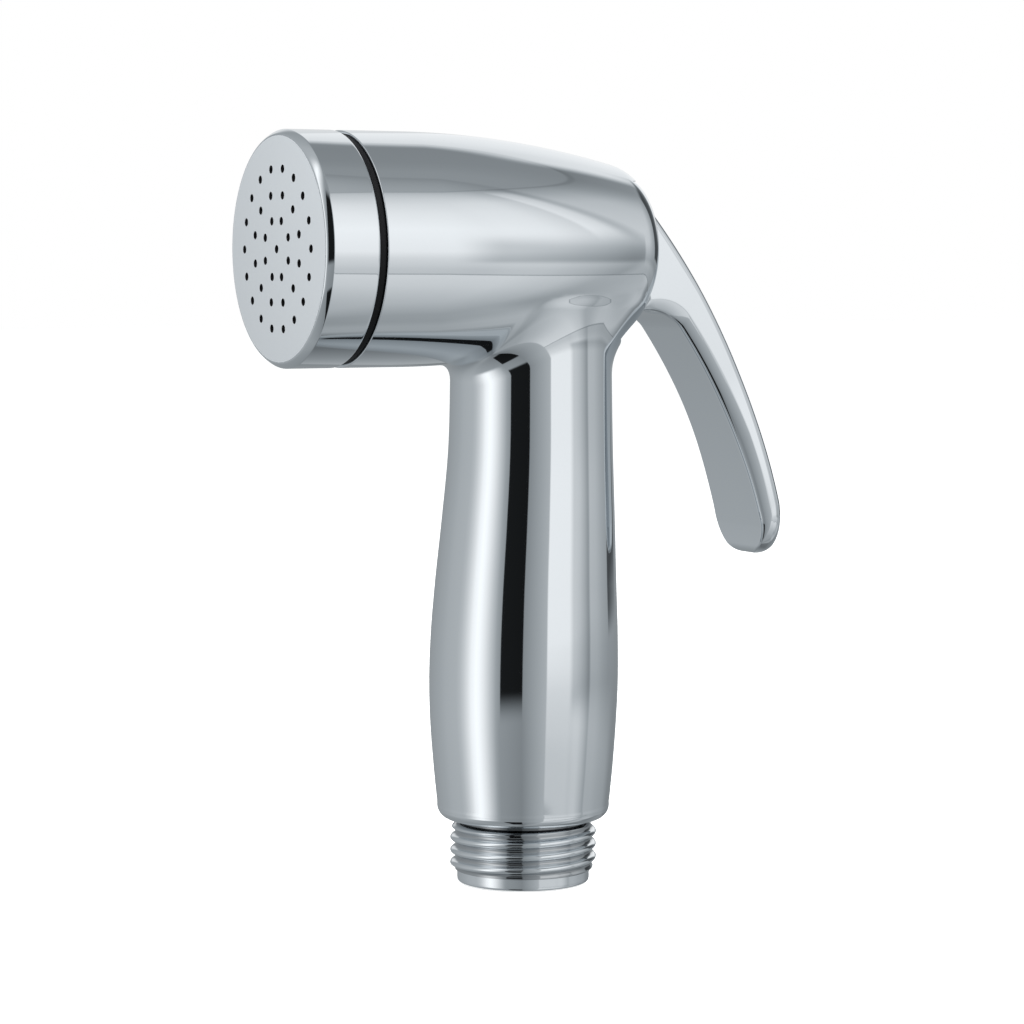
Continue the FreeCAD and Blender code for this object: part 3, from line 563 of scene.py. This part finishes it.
def spray_hole_tree():
    """A node tree that drills rings of holes through whatever it is given."""
    tree = bpy.data.node_groups.new("spray_holes", "GeometryNodeTree")
    tree.interface.new_socket("Geometry", in_out="INPUT", socket_type="NodeSocketGeometry")
    radius = tree.interface.new_socket("Hole Radius", in_out="INPUT", socket_type="NodeSocketFloat")
    depth = tree.interface.new_socket("Depth", in_out="INPUT", socket_type="NodeSocketFloat")
    tree.interface.new_socket("Geometry", in_out="OUTPUT", socket_type="NodeSocketGeometry")
    recipe = Recipe(tree)
    given = recipe.node("NodeGroupInput").outputs
    drill = recipe.node("GeometryNodeMeshCylinder", {
        "Vertices": 24, "Radius": given["Hole Radius"], "Depth": given["Depth"]})
    gather = recipe.node("GeometryNodeJoinGeometry")
    for ring_radius, count in HOLE_RINGS:
        ring = recipe.node("GeometryNodeMeshCircle", {
            "Vertices": count, "Radius": ring_radius * MM})
        ring = recipe.node("GeometryNodeTransform", {
            "Geometry": ring.outputs[0], "Rotation": (0, 0, math.pi / count)})
        copies = recipe.node("GeometryNodeInstanceOnPoints", {
            "Points": ring.outputs[0], "Instance": drill.outputs["Mesh"]})
        recipe.fill(gather, {0: copies.outputs[0]})
    shaded = recipe.node("GeometryNodeSetMaterial", {
        "Geometry": gather.outputs[0], "Material": bore_shade})
    solid = recipe.node("GeometryNodeRealizeInstances", {"Geometry": shaded.outputs[0]})
    placed = recipe.node("GeometryNodeTransform", {
        "Geometry": solid.outputs[0],
        "Translation": (SPRAY_FACE * MM, 0, BARREL_HEIGHT * MM),
        "Rotation": (0, math.pi / 2, 0)})
    drilled = recipe.node("GeometryNodeMeshBoolean", {
        "Mesh 1": given["Geometry"], "Mesh 2": placed.outputs[0]}, solver="EXACT")
    recipe.node("NodeGroupOutput", {0: drilled.outputs[0]})
    return tree, {radius.identifier: HOLE_RADIUS * MM, depth.identifier: HOLE_LENGTH * MM}


def grow(thing, tree, inputs):
    """Run a node tree on an object and keep the plain mesh that it makes."""
    modifier = thing.modifiers.new("grow", "NODES")
    modifier.node_group = tree
    for identifier, value in inputs.items():
        modifier[identifier] = value
    keep_result(thing)


def cap_face_normals(mesh):
    """Give the domed face its own finish and exact normals, clear of the drilled holes."""
    mesh.shade_smooth()
    mesh.set_sharp_from_angle(angle=CREASE)
    normals = [Vector(corner.vector) for corner in mesh.corner_normals]
    lean = 2 * FACE_DOME / rim ** 2
    for face in mesh.polygons:
        across = Vector((face.center.y, face.center.z - BARREL_HEIGHT * MM)) / MM
        if across.length < HOLE_RADIUS and abs(face.normal.x) < 0.5:
            face.material_index = mesh.materials.find(bore_shade.name)
        if face.normal.x > -0.98 or across.length > rim or face.center.x > FACE_REGION * MM:
            continue
        face.material_index = mesh.materials.find(satin_chrome.name)
        for corner in face.loop_indices:
            place = mesh.vertices[mesh.loops[corner].vertex_index].co / MM
            normals[corner] = Vector((-1, place.y * lean, (place.z - BARREL_HEIGHT) * lean))
            normals[corner].normalize()
    mesh.normals_split_custom_set(normals)


for finish in (chrome, satin_chrome, bore_shade):
    cap_shell.data.materials.append(finish)
grow(cap_shell, *spray_hole_tree())
cap_face_normals(cap_shell.data)
dress(cap_shell, "housing", "chrome_cap", chrome, "spray_cap")

# Seal ring: a moulded ring of black rubber with softened outer edges, held in the seam
# between the cap and the barrel's shoulder.
RING_BORE = 14.0
RING_RADIUS = 15.9
RING_ROUND = 0.2
ring_profile = [(CAP_BACK, RING_BORE)]
ring_profile += arc((CAP_BACK + RING_ROUND, RING_RADIUS - RING_ROUND), RING_ROUND, 180, 90, 4)
ring_profile += arc((SHOULDER - RING_ROUND, RING_RADIUS - RING_ROUND), RING_ROUND, 90, 0, 4)
ring_profile += [(SHOULDER, RING_BORE)]
seal_ring = lathe("rubber_ring", ring_profile, 160)
rubber = finish_material("black_rubber", (0.006, 0.006, 0.007), roughness=0.5, metallic=0,
                         variation=0.2, grain=1500, relief=0.15)
rubber.node_tree.nodes["Principled BSDF"].inputs["Specular IOR Level"].default_value = 0.2
dress(seal_ring, "housing", "black_rubber", rubber, "cap_seal_ring")

# Hose nipple: a turned and chromed metal fitting, held in the foot of the grip. Above its
# plain land runs a right-hand G1/2 thread with rounded crests, which takes the hose.
THREAD_PITCH = 1.8143
THREAD_CREST = 10.4775
THREAD_DEPTH = 0.7
THREAD_FROM = 1.7
THREAD_TO = 8.3
THREAD_RUNOUT = 0.7
CREST_POWER = 0.75
LAND_RADIUS = 9.47
NECK_RADIUS = 9.2
STUB_RADIUS = 9.5
STUB_TOP = 17.4
NIPPLE_BORE = 7.0
TURN_STEPS = 256


def thread_radius(height, turn):
    """The outer radius of the nipple at a height and a fraction of a turn."""
    phase = 2 * math.pi * (height / THREAD_PITCH - turn)
    wave = math.cos(phase)
    rounded = math.copysign(abs(wave) ** CREST_POWER, wave)
    start = min(1, max(0, (height - THREAD_FROM) / THREAD_RUNOUT))
    end = min(1, max(0, (THREAD_TO - height) / THREAD_RUNOUT))
    middle = THREAD_CREST - THREAD_DEPTH / 2
    groove = middle + rounded * THREAD_DEPTH / 2
    edge_radius = THREAD_CREST - THREAD_DEPTH
    return edge_radius + (groove - edge_radius) * start * end


nipple_rows = [(0.0, NIPPLE_BORE), (0.0, 8.2), (0.0, 9.1)]
nipple_rows += [(z, r) for r, z in arc((9.15, 0.3), 0.3, -90, 0, 4)]
nipple_rows += [(0.6, 9.48), (1.5, 9.455), (1.65, LAND_RADIUS)]
nipple_rows += [(float(z), None) for z in np.linspace(THREAD_FROM, THREAD_TO, 96)]
nipple_rows += [(8.45, LAND_RADIUS), (8.6, NECK_RADIUS), (9.3, NECK_RADIUS),
                (9.3, STUB_RADIUS), (STUB_TOP, STUB_RADIUS), (STUB_TOP, NIPPLE_BORE)]
nipple_points = []
for height, radius in nipple_rows:
    for step in range(TURN_STEPS):
        turn = step / TURN_STEPS
        reach = thread_radius(height, turn) if radius is None else radius
        angle = 2 * math.pi * turn
        nipple_points.append((reach * math.cos(angle), reach * math.sin(angle), height))
nipple = piece_from("chrome_nipple", nipple_points,
                    grid_faces(len(nipple_rows), TURN_STEPS, closed_rows=True))
# The depth setting paints shade into the colour of the thread's grooves.
thread_chrome = finish_material("thread_chrome", CHROME_COLOUR, roughness=0.08, metallic=1.0,
                                variation=0.4, grain=700, relief=0.01,
                                depth=(0.0094, 0.0103, 0.0017))
dress(nipple, "housing", "chrome_nipple", thread_chrome, "inlet_nipple")

# Lever: a curved and chromed metal squeeze lever that hangs on the pin across the barrel.
# Rounded sections run along it from the tip to the hub, and the bushed hub and the nose
# that pushes the valve are turned shapes joined to it.
LEVER_WIDTH = 13.5
OUTER_TIP = (39.6, 45.6)
OUTER_BEND = (39.3, 53.2)
OUTER_SHOULDER = (25.6, 85.0)
OUTER_NECK = (17.4, 95.9)
OUTER_END = (15.0, 98.7)
INNER_TIP = (37.0, 45.6)
INNER_BEND = (36.4, 49.8)
INNER_SHOULDER = (22.7, 79.1)
INNER_NECK = (16.2, 81.4)
INNER_HEAD = (14.9, 88.5)
INNER_END = (13.6, 94.3)
PLATE_STATIONS = 170
HEAD_STATIONS = 60
TIP_CROWDING = 1.6
INNER_EDGE = rounding((0, 14, 0.8), (14, 29, 6.0), (29, 90, 1.0), steps=5)
OUTER_ROUND = 1.2
SIDE_DRAFT = 0.045
TIP_FLARE = 0.5
FLARE_END = 28.0
FLARE_OVER = 20.0
CROWN = 0.27
TIP_CORNER = 6.0
HUB = (HINGE, 2.65, 1.33)
NOSE = ((15.5, 90.2), 2.0, 0.0)
HUB_SEGMENTS = 64


def arc_between(start, end, radius, steps):
    """Points of an arc from start to end; a positive radius bulges to the left."""
    start, end = np.array(start, float), np.array(end, float)
    chord = end - start
    length = np.linalg.norm(chord)
    left = np.array((-chord[1], chord[0])) / length
    drop = math.sqrt(radius ** 2 - (length / 2) ** 2)
    centre = (start + end) / 2 - left * math.copysign(drop, radius)
    first = math.atan2(*(start - centre)[::-1])
    last = math.atan2(*(end - centre)[::-1])
    sweep = (last - first + math.pi) % (2 * math.pi) - math.pi
    turns = first + sweep * np.linspace(0, 1, steps + 1)
    return [centre + abs(radius) * np.array((math.cos(turn), math.sin(turn))) for turn in turns]


def stations_along(path, count, crowding=1.0):
    """Points along a path, drawn closer together towards its start by the crowding."""
    path = np.array(path)
    steps = np.r_[0, np.cumsum(np.linalg.norm(np.diff(path, axis=0), axis=1))]
    spots = np.linspace(0, 1, count) ** crowding * steps[-1]
    return np.stack([np.interp(spots, steps, side) for side in path.T], axis=1)


outer_side = np.concatenate([
    stations_along(arc_between(OUTER_TIP, OUTER_BEND, -60, 12)
                   + arc_between(OUTER_BEND, OUTER_SHOULDER, -105, 60)[1:],
                   PLATE_STATIONS, TIP_CROWDING),
    stations_along(arc_between(OUTER_SHOULDER, OUTER_NECK, -105, 40)
                   + [np.array(OUTER_END)], HEAD_STATIONS)[1:]])
inner_side = np.concatenate([
    stations_along(arc_between(INNER_TIP, INNER_BEND, -40, 12)
                   + arc_between(INNER_BEND, INNER_SHOULDER, -80, 60)[1:],
                   PLATE_STATIONS, TIP_CROWDING),
    stations_along(arc_between(INNER_SHOULDER, INNER_NECK, -7, 30)
                   + [np.array(INNER_HEAD), np.array(INNER_END)], HEAD_STATIONS)[1:]])


def rounded_section(thick, half, crown):
    """A section with rounded corners: (across thickness from the inner side, across width)."""
    deep, inset = INNER_EDGE[-1]
    size = min(1, thick * 0.5 / deep, half * 0.6 / inset)
    outer = min(OUTER_ROUND, thick * 0.46, half * 0.9)
    inner, flat_half = deep * size, half - inset * size
    edge = [((deep - back) * size, half - inward * size) for back, inward in INNER_EDGE[::-1]]
    ring = [(0.0, w) for w in np.linspace(-flat_half + 0.06, flat_half - 0.06, 9)] + edge
    ring += [(inner + (thick - outer - inner) * t, half) for t in (0.04, 0.5, 0.96)]
    ring += arc((thick - outer, half - outer), outer, 90, 0, 7)
    ring += [(thick, w) for w in np.linspace(half - outer - 0.08, -half + outer + 0.08, 9)]
    ring += arc((thick - outer, -half + outer), outer, 0, -90, 7)
    ring += [(inner + (thick - outer - inner) * t, -half) for t in (0.96, 0.5, 0.04)]
    ring += [(across, -width) for across, width in edge[::-1]]
    return [(across + crown * (across / thick) ** 3 * max(0, 1 - (width / half) ** 2),
             width * (1 - SIDE_DRAFT * (thick - across) / half)) for across, width in ring]


lever_points = []
travelled = 0.0
for index, (inside, outside) in enumerate(zip(inner_side, outer_side)):
    middle = (inside + outside) / 2
    if index:
        travelled += np.linalg.norm(middle - previous)
    previous = middle
    thick = np.linalg.norm(outside - inside)
    way = (outside - inside) / thick
    flare = min(1, max(0, (FLARE_END - travelled) / FLARE_OVER))
    half = LEVER_WIDTH / 2 + TIP_FLARE * flare ** 2 * (3 - 2 * flare)
    if travelled < TIP_CORNER:
        half += math.sqrt(max(TIP_CORNER ** 2 - (TIP_CORNER - travelled) ** 2, 0)) - TIP_CORNER
    end_round = thick / 2
    squeeze = 1.0
    if travelled < end_round:
        squeeze = math.sqrt(max(1 - (1 - travelled / end_round) ** 2, 0.0025))
    for across, width in rounded_section(thick * squeeze, half, CROWN * squeeze):
        spot = middle + way * (across - thick * squeeze / 2)
        lever_points.append((spot[0], width, spot[1]))
ring_size = len(lever_points) // len(inner_side)
lever_faces = grid_faces(len(inner_side), ring_size)
lever_faces.append(tuple(range(ring_size)))
lever_faces.append(tuple(range(len(lever_points) - 1, len(lever_points) - ring_size - 1, -1)))


def cross_cylinder(centre, radius, hole, half_width, edge_break):
    """Points and faces of a cylinder across the lever with softened ends, or a bushed one."""
    profile = [(-half_width, hole), (-half_width, radius - edge_break),
               (-half_width + edge_break, radius), (half_width - edge_break, radius),
               (half_width, radius - edge_break), (half_width, hole)]
    angles = np.linspace(0, 2 * math.pi, HUB_SEGMENTS, endpoint=False)
    points = [(centre[0] + r * math.cos(a), w, centre[1] + r * math.sin(a))
              for w, r in profile for a in angles]
    return points, grid_faces(len(profile), HUB_SEGMENTS, closed_rows=True)


for turned in (HUB, NOSE):
    more_points, more_faces = cross_cylinder(*turned, LEVER_WIDTH / 2, 0.4)
    shift = len(lever_points)
    lever_points += more_points
    lever_faces += [tuple(corner + shift for corner in face) for face in more_faces]
lever_shell = piece_from("chrome_lever", lever_points, lever_faces)
dress(lever_shell, "trigger", "chrome_lever", chrome, "lever")

# Inside pieces: a brass sleeve and spool, a steel spring, retainer, filter and hinge pin,
# rubber seals, and a plastic diffuser and button, fitted in the barrel and the grip's foot.
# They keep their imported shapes, and take the finish of their material slot in the record.
plastic = finish_material("white_plastic", (0.78, 0.78, 0.75), roughness=0.4, metallic=0,
                          variation=0.15, grain=1200, relief=0.05)
brass = finish_material("turned_brass", (0.78, 0.57, 0.28), roughness=0.24, metallic=1.0,
                        variation=0.3, grain=1600, relief=0.08, stretch=(0.05, 1, 1))
steel = finish_material("spring_steel", (0.6, 0.61, 0.63), roughness=0.22, metallic=1.0,
                        variation=0.3, grain=1400, relief=0.06)
SLOT_FINISH = {
    "white_plastic": plastic, "turned_brass": brass, "spring_steel": steel,
    "black_rubber": rubber, "chrome_body": chrome, "chrome_cap": chrome,
    "chrome_lever": chrome, "chrome_nipple": thread_chrome,
}
slot_of = {entry["node"]: entry["material_slot"] for entry in frame["record"]["subparts"]}
for node, thing in frame["nodes"].items():
    for held in thing.material_slots:
        held.material = SLOT_FINISH[slot_of[node]]

# Stage: a pale floor that only the camera sees, and a studio with a broad box on the right,
# a soft strip on the left and a dark flag by the camera. Two soft lamps that no reflection
# shows light the satin face and what is matt.
CAMERA_TURN = -28.33
CAMERA_PLACE = (-217.38, -399.87, 87.64)
CAMERA_TARGET = (-1.8, 0.0, 53.0)
CAMERA_LENS = 112.5
FLOOR_REACH = 4000
FLOOR_DROP = 0.2
FLOOR_GLOW = 0.62

floor = piece_from("floor", [
    (-FLOOR_REACH, -FLOOR_REACH, 0), (FLOOR_REACH, -FLOOR_REACH, 0),
    (FLOOR_REACH, FLOOR_REACH, 0), (-FLOOR_REACH, FLOOR_REACH, 0)], [(0, 1, 2, 3)])
floor.location.z = -FLOOR_DROP * MM
floor_material = bpy.data.materials.new("pale_floor")
floor_material.use_nodes = True
Recipe(floor_material.node_tree).fill(floor_material.node_tree.nodes["Principled BSDF"], {
    "Base Color": (0.9, 0.9, 0.9, 1), "Roughness": 0.9, "Specular IOR Level": 0.0,
    "Emission Color": (1, 1, 1, 1), "Emission Strength": FLOOR_GLOW})
floor.data.materials.append(floor_material)
floor.visible_glossy = False
floor.visible_diffuse = False

world = bpy.data.worlds.new("studio")
bpy.context.scene.world = world
world.use_nodes = True
studio = Recipe(world.node_tree)
look = studio.node("ShaderNodeTexCoord").outputs["Generated"]
split = studio.node("ShaderNodeSeparateXYZ", {"Vector": look})
east, north, height = (Value(studio, split.outputs[axis]) for axis in "XYZ")
turn = math.radians(CAMERA_TURN)
toward = east * math.sin(turn) - north * math.cos(turn)
aside = east * math.cos(turn) + north * math.sin(turn)
around = studio.work_out("ARCTAN2", aside, toward) * (180 / math.pi)
lift = studio.work_out("ARCSINE", height) * (180 / math.pi)


def soft_patch(strength, turns, heights):
    """A soft-edged part of the studio, each way as (from, to, fade before, fade after)."""
    return around.between(*turns) * lift.between(*heights) * strength


def world_light():
    """How bright the studio is each way: around from the camera, and lift above level."""
    left = around.profile((-180, 0.31), (-150, 0.36), (-122, 0.42), (-110, 0.46), (-90, 0.49),
                          (-50, 0.40), (-28, 0.33), (-2, 0.27), (10, 0.36), (20, 0.43),
                          (27, 0.48), (28.5, 0.0))
    left = left * lift.profile((-70, 0.7), (-40, 0.85), (-12, 1.0), (90, 1.0))
    strip = around.profile((-90, 0.0), (-84, 0.07), (-78, 0.20), (-72, 0.38), (-67, 0.58),
                           (-60, 0.72), (-56, 0.68), (-50, 0.52), (-42, 0.27), (-34, 0.05),
                           (-30, 0.0))
    strip = strip * lift.between(-22, 55, 12, 20)
    upper = around.profile((27, 0.0), (28.5, 1.0), (56, 1.0), (66, 0.92), (72.5, 0.80), (80, 0.62),
                           (86.5, 0.42), (89, 0.56), (100, 0.54), (112, 0.46), (125, 0.40),
                           (158, 0.36), (166, 0.40), (180, 0.40))
    upper = upper * lift.profile((-21.6, 0.0), (-21, 0.60), (-17, 0.617), (-14, 0.67),
                                 (-8, 0.75), (-2, 0.91), (5, 0.94), (17, 0.985), (31, 0.90),
                                 (38, 0.825), (46, 0.66), (48, 0.60), (48.5, 0.27), (90, 0.27))
    upper = upper * (1 - soft_patch(0.25, (64, 84, 8, 6), (-9, 2, 4, 12)))
    lower = around.profile((27, 0.0), (28.5, 1.0), (68, 1.0), (80, 0.82), (90, 0.85), (100, 1.0),
                           (110, 1.0), (122, 0.52), (158, 0.40), (168, 0.50), (180, 0.60))
    lower = lower * lift.profile((-90, 0.33), (-62, 0.40), (-56, 0.454), (-50, 0.49),
                                 (-44, 0.535), (-38, 0.595), (-31, 0.667), (-22, 0.72), (-21.2, 0.0))
    lower = lower * (1 - soft_patch(0.24, (86, 130, 8, 10), (-40, -21.5, 10, 0.5)))
    low_fill = soft_patch(0.11, (74, 125, 14, 25), (-21.4, -13, 0.1, 6))
    high_fill = soft_patch(0.12, (74, 100, 12, 25), (8, 38, 12, 12))
    tall_strip = soft_patch(0.17, (80, 83, 1.5, 3), (20, 44, 14, 4))
    ceiling = around.between(60, 180, 5, 1) * lift.rise(48, 49) * 0.17
    back = soft_patch(0.55, (150, 180, 14, 1), (8, 46, 8, 8))
    back_left = soft_patch(0.45, (-180, -165, 1, 15), (8, 46, 8, 8))
    lit = left + strip + upper + lower + low_fill + high_fill
    lit = lit + tall_strip + ceiling + back + back_left
    flag = lift.between(-7.5, 40, 5.5, 10) + lift.between(-70, -34, 5, 4)
    flag = 1 - flag * around.between(-28, -2, 1.2, 1.0) * 0.965
    thin_flag = 1 - soft_patch(0.8, (127, 148, 2.5, 8), (-3.5, 30, 2, 10))
    return lit * flag * thin_flag


light = world_light()
tint = studio.node("ShaderNodeMix", {
    "Factor": light.rise(0.0, 0.95), "A": (0.87, 0.95, 1.0, 1), "B": (0.985, 0.995, 1, 1)},
    data_type="RGBA")
glow = studio.node("ShaderNodeBackground", {"Color": tint.outputs["Result"], "Strength": light})
white = studio.node("ShaderNodeBackground", {"Color": (1, 1, 1, 1), "Strength": 1.0})
paths = studio.node("ShaderNodeLightPath")
mixed = studio.node("ShaderNodeMixShader", {
    "Fac": paths.outputs["Is Camera Ray"], 1: glow.outputs[0], 2: white.outputs[0]})
studio.fill(world.node_tree.nodes["World Output"], {"Surface": mixed.outputs[0]})


def aim(thing, place, target):
    """Set a lamp or the camera at a place, turned to a target, both in millimetres."""
    thing.location = Vector(place) * MM
    way = Vector(target) * MM - thing.location
    thing.rotation_euler = way.to_track_quat("-Z", "Y").to_euler()
    bpy.context.scene.collection.objects.link(thing)


def soft_lamp(name, place, target, width, power):
    """A square area lamp, in millimetres, that no reflection shows."""
    data = bpy.data.lights.new(name, "AREA")
    data.size = width * MM
    data.energy = power
    thing = bpy.data.objects.new(name, data)
    thing.visible_glossy = False
    aim(thing, place, target)


soft_lamp("high_lamp", (350, -350, 750), (0, 0, 50), width=600, power=9.0)
soft_lamp("face_lamp", (-150, -75, 150), (-38, 0, 90), width=60, power=0.165)

camera_data = bpy.data.cameras.new("camera")
camera_data.lens = CAMERA_LENS
camera_data.sensor_width = 36.0
camera_data.clip_start = 0.01
camera = bpy.data.objects.new("camera", camera_data)
aim(camera, CAMERA_PLACE, CAMERA_TARGET)
bpy.context.scene.camera = camera
bpy.context.scene.view_settings.view_transform = "Standard"
